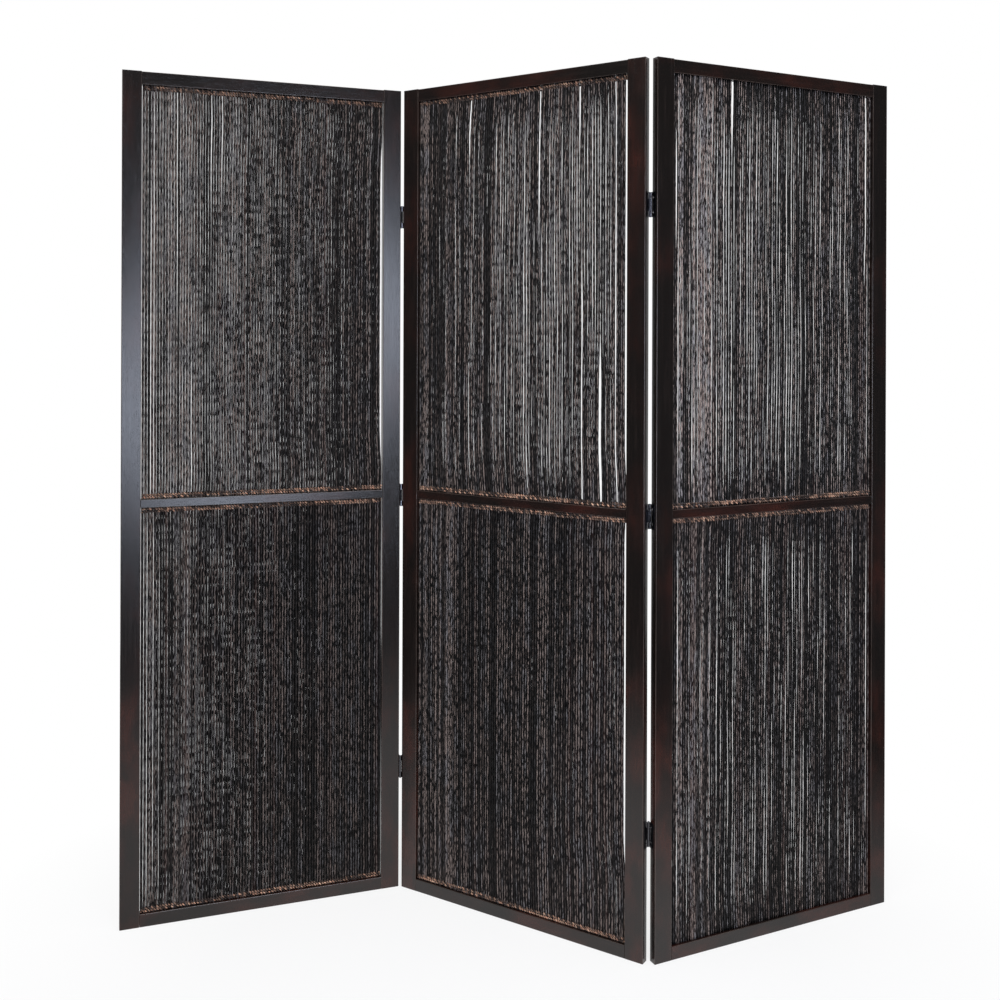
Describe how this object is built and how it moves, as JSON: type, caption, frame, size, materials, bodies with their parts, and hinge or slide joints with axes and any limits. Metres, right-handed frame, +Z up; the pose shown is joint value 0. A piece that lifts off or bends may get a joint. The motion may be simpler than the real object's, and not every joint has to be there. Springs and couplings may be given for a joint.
{
  "type": "folding screen",
  "caption": "Free-standing zigzag room divider: hinged dark wood panels with a middle rail and openings filled with closely strung upright cords.",
  "frame": {"origin": "on the floor, under the middle of the box that the screen fills as it stands in its zigzag", "axes": "+Z up, +X to the right of someone standing in front, +Y away from them"},
  "size_m": [1.6484, 0.3408, 1.8],
  "materials": {
    "stained_wood": "very dark red-brown stain under a satin lacquer",
    "cord": "near-black twisted fibre cord",
    "twining": "red-brown twisted fibre with light highlights",
    "hinge_steel": "black, half gloss"
  },
  "bodies": {
    "middle_panel": {"middle_panel_left_stile": "stained_wood", "middle_panel_right_stile": "stained_wood", "middle_panel_top_rail": "stained_wood", "middle_panel_middle_rail": "stained_wood", "middle_panel_bottom_rail": "stained_wood", "middle_panel_upper_cords": "cord", "middle_panel_upper_cords_top_twining": "twining", "middle_panel_upper_cords_bottom_twining": "twining", "middle_panel_lower_cords": "cord", "middle_panel_lower_cords_top_twining": "twining", "middle_panel_lower_cords_bottom_twining": "twining", "left_fold_bottom_hinge_middle_leaf": "hinge_steel", "left_fold_middle_hinge_middle_leaf": "hinge_steel", "left_fold_top_hinge_middle_leaf": "hinge_steel", "left_fold_bottom_hinge_pin": "hinge_steel", "left_fold_middle_hinge_pin": "hinge_steel", "left_fold_top_hinge_pin": "hinge_steel", "right_fold_bottom_hinge_middle_leaf": "hinge_steel", "right_fold_middle_hinge_middle_leaf": "hinge_steel", "right_fold_top_hinge_middle_leaf": "hinge_steel", "right_fold_bottom_hinge_pin": "hinge_steel", "right_fold_middle_hinge_pin": "hinge_steel", "right_fold_top_hinge_pin": "hinge_steel"},
    "left_panel": {"left_panel_left_stile": "stained_wood", "left_panel_right_stile": "stained_wood", "left_panel_top_rail": "stained_wood", "left_panel_middle_rail": "stained_wood", "left_panel_bottom_rail": "stained_wood", "left_panel_upper_cords": "cord", "left_panel_upper_cords_top_twining": "twining", "left_panel_upper_cords_bottom_twining": "twining", "left_panel_lower_cords": "cord", "left_panel_lower_cords_top_twining": "twining", "left_panel_lower_cords_bottom_twining": "twining", "left_fold_bottom_hinge_left_leaf": "hinge_steel", "left_fold_middle_hinge_left_leaf": "hinge_steel", "left_fold_top_hinge_left_leaf": "hinge_steel"},
    "right_panel": {"right_panel_left_stile": "stained_wood", "right_panel_right_stile": "stained_wood", "right_panel_top_rail": "stained_wood", "right_panel_middle_rail": "stained_wood", "right_panel_bottom_rail": "stained_wood", "right_panel_upper_cords": "cord", "right_panel_upper_cords_bottom_twining": "twining", "right_panel_lower_cords": "cord", "right_panel_lower_cords_top_twining": "twining", "right_fold_bottom_hinge_right_leaf": "hinge_steel", "right_fold_middle_hinge_right_leaf": "hinge_steel", "right_fold_top_hinge_right_leaf": "hinge_steel"}
  },
  "joints": [
    {"name": "left_fold", "type": "hinge", "parent": "middle_panel", "child": "left_panel", "pos_m": [-0.25008, 0.15159, 0.886], "axis": [0, 0, 1], "range_deg": [-52, 128]},
    {"name": "right_fold", "type": "hinge", "parent": "middle_panel", "child": "right_panel", "pos_m": [0.27223, -0.15269, 0.886], "axis": [0, 0, 1], "range_deg": [-58, 122]}
  ]
}
